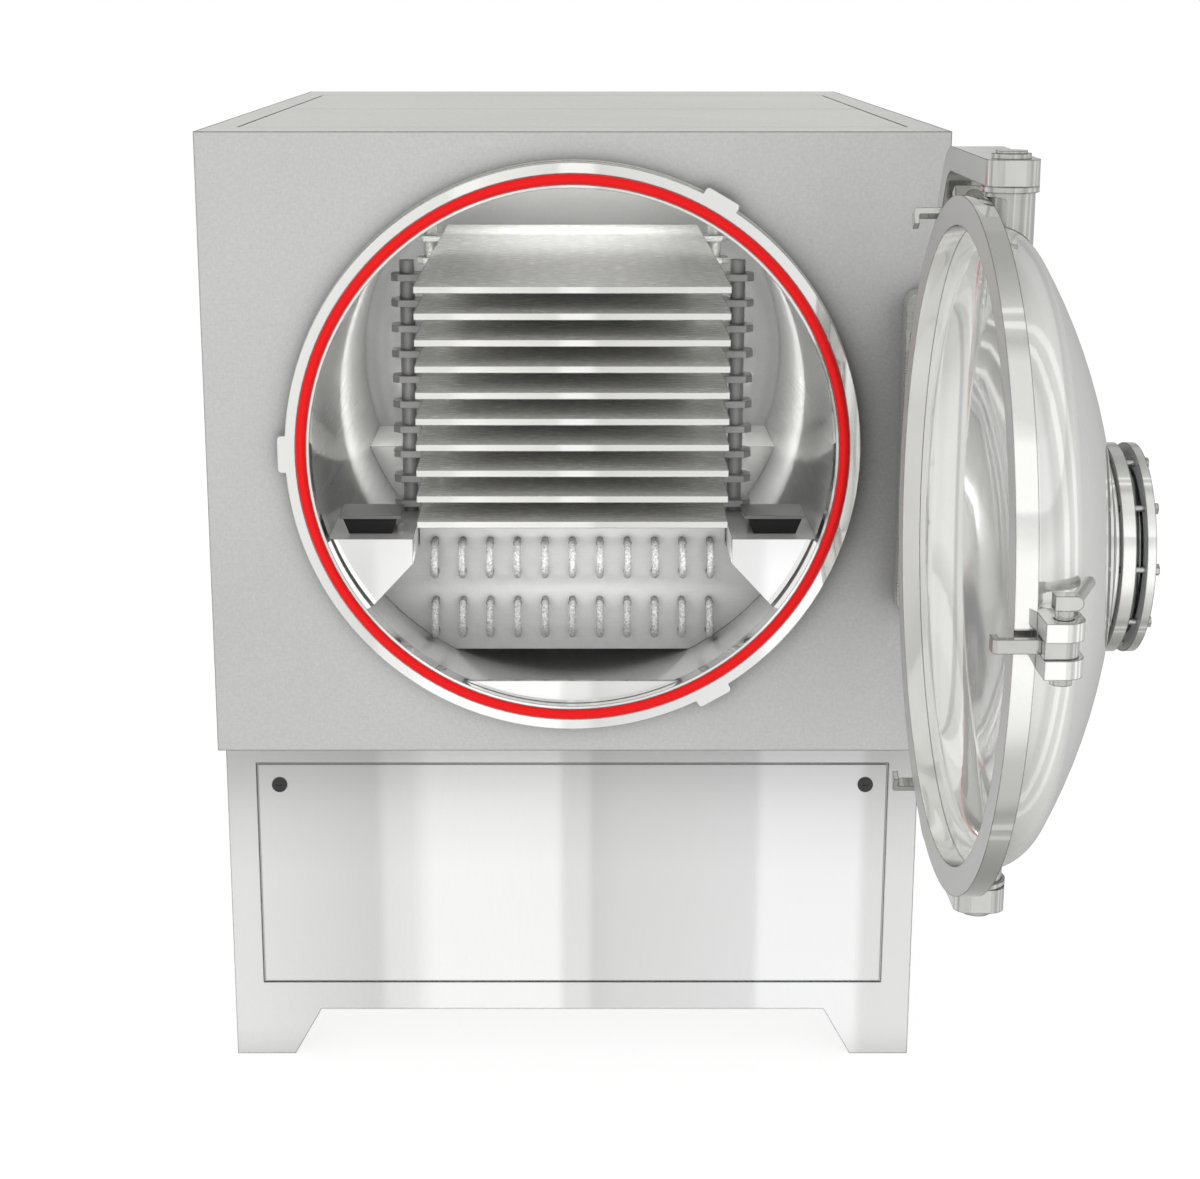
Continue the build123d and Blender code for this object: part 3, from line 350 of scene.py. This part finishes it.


# linen-rolled stainless: matt, with crossed threads that break up every reflection, and a deep painted shade
# beside the open door and in corners
linenStainless = sheetMetal("linenRolledStainless", {
    "light": "#D6D6D5", "shade": "#D0D0CF", "fleck": 0.15, "grain": (4.0, 4.0, 9.0), "weft": (9.0, 9.0, 4.0),
    "cloud": 700, "rough": 0.52, "spread": 0.05, "relief": 0.15, "metal": 0.35,
    "edge": 3.8, "edgeShade": "#0E0E0E", "paintedShadeReach": 0.5, "paintedShadeDepth": 0.92, "paintedShadeCurve": 1.5})

# bright-annealed stainless: a near mirror with a faint upright rolling grain, so windows show as clean
# strips, and painted shade under the cabinet's overhang
brightStainless = sheetMetal("brightAnnealedStainless", {
    "light": "#F4F4F3", "shade": "#EFEFEE", "fleck": 0.02, "grain": (1.6, 1.6, 60.0), "cloud": 900,
    "rough": 0.02, "spread": 0.01, "relief": 0.004, "metal": 0.93,
    "edge": 3.6, "edgeShade": "#141414", "paintedShadeReach": 0.10, "paintedShadeDepth": 0.45})

# turned and buffed stainless plate: a mirror with a soft haze
polishedStainless = sheetMetal("polishedStainlessPlate", {
    "light": "#FDFDFC", "shade": "#FAFAF8", "fleck": 0.01, "grain": (2.0, 24.0, 2.0), "cloud": 600,
    "rough": 0.02, "spread": 0.01, "relief": 0.004, "metal": 0.95,
    "edge": 3.0, "edgeShade": "#141414", "paintedShadeReach": 0.3, "paintedShadeDepth": 0.4})

# satin-brushed stainless: soft highlights stretched across the brushing
satinStainless = sheetMetal("satinBrushedStainless", {
    "light": "#DEDEDA", "shade": "#D5D5D1", "fleck": 0.05, "grain": (40.0, 1.5, 1.5), "cloud": 500,
    "rough": 0.30, "spread": 0.06, "relief": 0.05, "metal": 0.8,
    "edge": 2.0, "edgeShade": "#242422", "paintedShadeReach": 0.08, "paintedShadeDepth": 0.4})

# the covers on top: the same brushed sheet, a little smoother, in a darker copy of its colour that paints
# shade on the top
shadedCoverStainless = sheetMetal("satinCoverStainlessShaded", {
    "light": "#D2D2CE", "shade": "#CACAC6", "fleck": 0.04, "grain": (40.0, 1.5, 1.5), "cloud": 500,
    "rough": 0.26, "spread": 0.06, "relief": 0.04, "metal": 0.8,
    "edge": 3.6, "edgeShade": "#161615", "paintedShadeReach": 0.08, "paintedShadeDepth": 0.4})

# ground and buffed stainless inside the chamber: long streaks front to rear, lighter where light rakes it
chamberStainless = sheetMetal("buffedChamberStainless", {
    "light": "#F2F2F0", "shade": "#E8E8E6", "fleck": 0.03, "grain": (8.0, 220.0, 8.0), "cloud": 300,
    "rough": 0.14, "spread": 0.03, "relief": 0.01, "metal": 0.4,
    "edge": 2.0, "edgeShade": "#3C3C3A", "paintedShadeReach": 0.3, "paintedShadeDepth": 0.6})

dress(linenStainless, "front_panel", "left_side_panel", "right_side_panel", "rear_panel")
dress(brightStainless, "base_frame", "service_panel", "deck", "base_pan")
dress(shadedCoverStainless, "top_frame", "top_cover_front", "top_cover_rear")
dress(satinStainless, "saddles", "vacuum_line")
dress(polishedStainless, "mouth_ring", "sill")
dress(chamberStainless, "chamber_shell", "rear_head")
print("cabinet and chamber finished")

# anodised aluminium shelves: pale and soft on top, with milled front edges that mirror the room
shelfAluminium = sheetMetal("anodisedShelfAluminium", {
    "light": "#F2F2EF", "shade": "#EAEAE7", "fleck": 0.03, "grain": (30.0, 2.0, 2.0), "cloud": 260,
    "rough": 0.26, "spread": 0.03, "relief": 0.01, "metal": 0.2, "edge": 2.3, "edgeShade": "#141413",
    "face": {"way": (0, -1, 0), "metal": 0.96, "rough": 0.03, "colour": "#FAFAF8"}})

# folded stainless brackets: pale on top, with a bright front plate
bracketSteel = sheetMetal("foldedBracketSteel", {
    "light": "#F0F0EE", "shade": "#E6E6E4", "fleck": 0.03, "grain": (24.0, 2.0, 2.0), "cloud": 300,
    "rough": 0.2, "spread": 0.02, "relief": 0.01, "metal": 0.3,
    "edge": 1.8, "edgeShade": "#30302E", "paintedShadeReach": 0.08, "paintedShadeDepth": 0.25,
    "face": {"way": (0, -1, 0), "metal": 0.96, "rough": 0.03, "colour": "#FDFDFC"}})

# black anodised posts and lugs: dark grey in strong light, with a dull sheen along each bar
blackAnodised = sheetMetal("blackAnodisedAluminium", {
    "light": "#BCBCBA", "shade": "#AAAAA8", "fleck": 0.06, "grain": (2.0, 2.0, 18.0), "cloud": 90,
    "rough": 0.35, "spread": 0.06, "relief": 0.04, "metal": 0.3,
    "edge": 1.2, "edgeShade": "#202020", "paintedShadeReach": 0.04, "paintedShadeDepth": 0.5})

# moulded black plastic latches: even and half matt
latchPlastic = sheetMetal("mouldedBlackLatch", {
    "light": "#333333", "shade": "#2A2A2A", "fleck": 0.06, "grain": (1.0, 1.0, 1.0), "cloud": 20,
    "rough": 0.45, "spread": 0.05, "relief": 0.05, "metal": 0.0})

# rolled tube sheet: pale and matt, with painted shade that darkens it towards its rim
tubeSheetSteel = sheetMetal("rolledTubeSheet", {
    "light": "#EEEEED", "shade": "#E6E6E5", "fleck": 0.05, "grain": (60.0, 3.0, 3.0), "cloud": 240,
    "rough": 0.34, "spread": 0.05, "relief": 0.04, "metal": 0.15,
    "edge": 2.2, "edgeShade": "#222222", "paintedShadeReach": 0.3, "paintedShadeDepth": 0.66})

# drawn tube: grey with long draw marks
coilTube = sheetMetal("drawnCoilTube", {
    "light": "#A4A4A3", "shade": "#848483", "fleck": 0.10, "grain": (2.0, 16.0, 2.0), "cloud": 40,
    "rough": 0.38, "spread": 0.08, "relief": 0.06, "metal": 0.6, "paintedShadeReach": 0.05, "paintedShadeDepth": 0.3})

# enamelled castings of the pump and the compressor: glossy paint over a slightly rough casting
pumpEnamel = sheetMetal("enamelledPump", {
    "light": "#3D5A80", "shade": "#34507A", "fleck": 0.05, "grain": (2.0, 2.0, 2.0), "cloud": 60,
    "rough": 0.3, "spread": 0.05, "relief": 0.06, "metal": 0.0, "edge": 1.2, "edgeShade": "#28405F"})
compressorEnamel = sheetMetal("enamelledCompressor", {
    "light": "#2E2E30", "shade": "#262628", "fleck": 0.05, "grain": (2.0, 2.0, 2.0), "cloud": 60,
    "rough": 0.28, "spread": 0.05, "relief": 0.06, "metal": 0.0, "edge": 1.2, "edgeShade": "#18181A"})

dress(shelfAluminium, *["shelf_%02d" % number for number in range(1, 11)])
dress(blackAnodised, "rack_posts_front", "shelf_lugs_front")
dress(bracketSteel, "rack_brackets_front", "rack_brackets_rear")
dress(satinStainless, "rack_posts_rear", "shelf_lugs_rear", "hinge_bracket", "hinge_pin")
dress(latchPlastic, "latch_left", "latch_right")
dress(tubeSheetSteel, "coil_sheets")
dress(coilTube, "coil_tubes")
dress(pumpEnamel, "pump")
dress(compressorEnamel, "compressor")

# mirror-polished door fittings, with the ring's sealing face lapped to a matt grey
doorStainless = sheetMetal("mirrorPolishedFitting", {
    "light": "#F4F4F2", "shade": "#ECECEA", "fleck": 0.02, "grain": (6.0, 6.0, 6.0), "cloud": 320,
    "rough": 0.05, "spread": 0.02, "relief": 0.006, "metal": 0.95,
    "edge": 2.4, "edgeShade": "#141413", "paintedShadeReach": 0.03, "paintedShadeDepth": 0.3,
    "face": {"way": (-1, 0, 0), "metal": 0.3, "rough": 0.42, "colour": "#BDBEBC"}})

# spun and buffed dish: mirrors the room in long curves, with a pale bloom from the buffing
dishStainless = sheetMetal("spunAndBuffedDish", {
    "light": "#F6F6F4", "shade": "#EDEDEB", "fleck": 0.02, "grain": (6.0, 6.0, 6.0), "cloud": 320,
    "rough": 0.05, "spread": 0.02, "relief": 0.004, "metal": 0.65, "edge": 2.0, "edgeShade": "#2A2A29"})

# machined stainless: greyer, with fine upright tool marks that blur what it mirrors
machinedStainless = sheetMetal("machinedStainless", {
    "light": "#D0D0CD", "shade": "#BEBEBB", "fleck": 0.05, "grain": (3.0, 3.0, 30.0), "cloud": 120,
    "rough": 0.12, "spread": 0.06, "relief": 0.02, "metal": 0.88,
    "edge": 2.3, "edgeShade": "#131312", "paintedShadeReach": 0.05, "paintedShadeDepth": 0.3})

dress(dishStainless, "door_head")
dress(doorStainless, "door_ring", "sight_port", "sight_cover", "clamp_brackets")
dress(machinedStainless, "yoke", "trunnion_pins", "trunnion_tubes", "sight_bolts")
for place in ("upper", "side", "lower"):
    dress(machinedStainless, "clamp_hook_" + place, "clamp_lever_" + place)


# plate and bond in metres, grit in grains to a metre
stop = {"plate": 0.006, "plateColour": "#7A7A78", "plateRough": 0.35, "plateMetal": 0.5, "bond": 0.0003,
        "footColour": "#0E0E0E", "footRough": 0.7, "grit": 700.0, "relief": 0.1}


def twoPartStop(name):
    # pressed steel plate bonded to a moulded black rubber foot: grey on top, almost no shine below
    material, tree = startMaterial(name)
    place = addNode(tree, "TexCoord").outputs["Object"]
    height = addNode(tree, "SeparateXYZ", links={0: place}).outputs["Z"]
    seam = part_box("rack_stops")[1].z - stop["plate"]
    plate = addNode(tree, "MapRange", {"From Min": seam - stop["bond"], "From Max": seam}, {"Value": height})
    grit = addNode(tree, "TexNoise", {"Scale": stop["grit"], "Detail": 2.0}, {"Vector": place})
    tones = {6: toLinear(stop["footColour"]), 7: toLinear(stop["plateColour"])}
    colour = addNode(tree, "Mix", {**blendColours, **tones}, {0: plate}).outputs[2]
    metal = addNode(tree, "Math", {"operation": "MULTIPLY", 1: stop["plateMetal"]}, {0: plate})
    rough = addNode(tree, "MapRange", {"To Min": stop["footRough"], "To Max": stop["plateRough"]},
                    {"Value": plate})
    bump = addNode(tree, "Bump", {"Strength": stop["relief"], "Distance": skinHeight}, {"Height": grit})
    surface = addNode(tree, "BsdfPrincipled", links={"Base Color": colour, "Metallic": metal,
                                                     "Roughness": rough, "Normal": bump})
    addNode(tree, "OutputMaterial", links={"Surface": surface})
    return material


dress(twoPartStop("bondedRubberStop"), "rack_stops")


# cloud and skin in millimetres, the reach of the painted shade in metres
silicone = {"light": "#F21012", "shade": "#EC0C10", "cloud": 60, "skin": 1.2, "relief": 0.05, "rough": 0.34,
            "index": 1.41, "specular": 0.3, "cleftPaintedShadeReach": 0.35, "cleftPaintedShade": 0.35}


def mouldedSilicone(name):
    # moulded silicone: saturated red with a soft sheen along the top of its round section, and painted shade
    # darkening the red where near parts close in
    material, tree = startMaterial(name)
    place = addNode(tree, "TexCoord").outputs["Object"]
    cloud = addNode(tree, "TexNoise", {"Scale": 1000 / silicone["cloud"], "Detail": 2.0}, {"Vector": place})
    tones = {6: toLinear(silicone["shade"]), 7: toLinear(silicone["light"])}
    colour = addNode(tree, "Mix", {**blendColours, **tones}, {0: cloud}).outputs[2]
    skin = addNode(tree, "TexNoise", {"Scale": 1000 / silicone["skin"], "Detail": 1.0}, {"Vector": place})
    bump = addNode(tree, "Bump", {"Strength": silicone["relief"], "Distance": skinHeight}, {"Height": skin})
    # painted shade: ambient occlusion darkens the red where near parts hide the sky
    sky = addNode(tree, "AmbientOcclusion", {"samples": 6, "Distance": silicone["cleftPaintedShadeReach"]}).outputs["AO"]
    deep = addNode(tree, "MapRange", {"To Min": silicone["cleftPaintedShade"]}, {"Value": sky})
    colour = addNode(tree, "Mix", multiplyColours, {6: colour, 7: deep}).outputs[2]
    surface = addNode(tree, "BsdfPrincipled", {"Roughness": silicone["rough"], "IOR": silicone["index"],
                                               "Specular IOR Level": silicone["specular"]},
                      {"Base Color": colour, "Normal": bump})
    addNode(tree, "OutputMaterial", links={"Surface": surface})
    return material


dress(mouldedSilicone("mouldedRedSilicone"), "gasket")


glass = {"colour": "#E4EFEA", "index": 1.52, "smears": 30.0, "rough": (0.01, 0.06)}     # smears to a metre


def toughenedGlass(name):
    # toughened soda-lime glass with the faint green of its iron
    material, tree = startMaterial(name)
    place = addNode(tree, "TexCoord").outputs["Object"]
    smear = addNode(tree, "TexNoise", {"Scale": glass["smears"], "Detail": 3.0}, {"Vector": place})
    clean, wiped = glass["rough"]
    rough = addNode(tree, "MapRange", {"To Min": clean, "To Max": wiped}, {"Value": smear})
    surface = addNode(tree, "BsdfPrincipled", {"Base Color": toLinear(glass["colour"]), "IOR": glass["index"],
                                               "Transmission Weight": 1.0}, {"Roughness": rough})
    addNode(tree, "OutputMaterial", links={"Surface": surface})
    return material


dress(toughenedGlass("toughenedSightGlass"), "sight_glass")
print("door, rack and coil finished")


# added pieces, in metres

def spinCircle(bm, radius, sides, section, **turn):
    made = bmesh.ops.create_circle(bm, segments=sides, radius=radius, matrix=section)
    edges = dict.fromkeys(edge for vert in made["verts"] for edge in vert.link_edges)
    bmesh.ops.spin(bm, geom=[*made["verts"], *edges], **turn)


def addRing(bm, middle, axis, radius, bead, steps, sides=8):
    # a round bead laid in a circle
    middle, axis = Vector(middle), Vector(axis).normalized()
    out = axis.orthogonal().normalized()
    upright = axis.cross(out).to_track_quat("Z", "Y").to_matrix().to_4x4()
    section = Matrix.Translation(middle + out * radius) @ upright
    spinCircle(bm, bead, sides, section, cent=middle, axis=axis, angle=2 * pi, steps=steps, use_merge=True)


coil = {"tube": 0.006, "bend": 0.032, "columns": 11, "sides": 14, "bendSteps": 16, "frost": 0.0012,
        "collar": 0.0022, "collarBack": 0.002, "collarOut": 0.0004}
coilLow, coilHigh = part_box("coil_tubes")
columnStep = (coilHigh.x - coilLow.x - 2 * coil["tube"]) / (coil["columns"] - 1)
columnPlaces = [coilLow.x + coil["tube"] + column * columnStep for column in range(coil["columns"])]
rowPlaces = [coilHigh.z - coil["tube"] - coil["bend"], coilLow.z + coil["tube"] + coil["bend"]]
bendStart = coilLow.y + coil["tube"] + coil["bend"]

# crystal in millimetres, height in metres
frost = {"crystal": 4.0, "relief": 0.8, "height": 0.0012, "rough": 0.75, "index": 1.31,
         "cover": [(0.0, "#8A8B8A"), (0.38, "#8A8B8A"), (0.5, "#AEAFAE"), (0.62, "#CBCCCB"),
                   (1.0, "#CBCCCB")]}


def rimeFrost(name):
    # hoar frost: matt white crystals over grey metal, rough at a millimetre or two
    material, tree = startMaterial(name)
    place = addNode(tree, "TexCoord").outputs["Object"]
    crystals = addNode(tree, "TexNoise", {"Scale": 1000 / frost["crystal"], "Detail": 4.0, "Roughness": 0.7},
                       {"Vector": place})
    ramp = addNode(tree, "ValToRGB", links={0: crystals})
    fillRamp(ramp, frost["cover"])
    bump = addNode(tree, "Bump", {"Strength": frost["relief"], "Distance": frost["height"]},
                   {"Height": crystals})
    surface = addNode(tree, "BsdfPrincipled", {"Roughness": frost["rough"], "IOR": frost["index"]},
                      {"Base Color": ramp, "Normal": bump})
    addNode(tree, "OutputMaterial", links={"Surface": surface})
    return material


def buildFrost():
    # a sleeve of frost round each hairpin's bend
    bm = bmesh.new()
    for x in columnPlaces:
        for z in rowPlaces:
            start = Matrix.Translation((x, bendStart, z + coil["bend"])) @ Matrix.Rotation(pi / 2, 4, "X")
            spinCircle(bm, coil["tube"] + coil["frost"], coil["sides"], start, cent=(x, bendStart, z),
                       axis=(1, 0, 0), angle=pi, steps=coil["bendSteps"])
    bmesh.ops.holes_fill(bm, edges=bm.edges, sides=0)
    addPiece("frost_sleeves", bm, rimeFrost("rimeFrost"), "cabinet")
    # the rolled lip where each hairpin's upper leg meets the sheet
    bm = bmesh.new()
    for x in columnPlaces:
        for z in rowPlaces:
            addRing(bm, (x, bendStart + coil["collarBack"], z + coil["bend"]), (0, 1, 0),
                    coil["tube"] + coil["collarOut"], coil["collar"], coil["sides"])
    addPiece("coil_collars", bm, machinedStainless, "cabinet")


buildFrost()

# each bead's own radius, the radius of the circle it is laid in where no box gives it, and how far it stands
# out from the solid beside it
seams = {"mouth": 0.0022, "mouthCircle": 0.546, "mouthOut": 0.0004, "dish": 0.0032, "dishOut": 0.001,
         "port": 0.003, "portCircle": 0.159, "portInset": 0.007, "steps": 240, "portSteps": 120}


def buildSeams():
    bm = bmesh.new()
    middle = (chamberMiddle.x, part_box("front_panel")[0].y - seams["mouthOut"], chamberMiddle.z)
    addRing(bm, middle, (0, 1, 0), seams["mouthCircle"], seams["mouth"], seams["steps"])
    addPiece("mouth_sealant", bm, satinStainless, "cabinet")
    ringLow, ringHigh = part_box("door_ring")
    dishLow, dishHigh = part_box("door_head")
    hub = (ringLow + ringHigh) / 2
    dishCircle = (dishHigh.z - dishLow.z) / 2 + seams["dishOut"]
    bm = bmesh.new()
    addRing(bm, (ringHigh.x, hub.y, hub.z), (1, 0, 0), dishCircle, seams["dish"], seams["steps"])
    addRing(bm, (dishHigh.x - seams["portInset"], hub.y, hub.z), (1, 0, 0), seams["portCircle"],
            seams["port"], seams["portSteps"])
    addPiece("door_welds", bm, machinedStainless, "door")


buildSeams()
print("frost, collars and welds added")
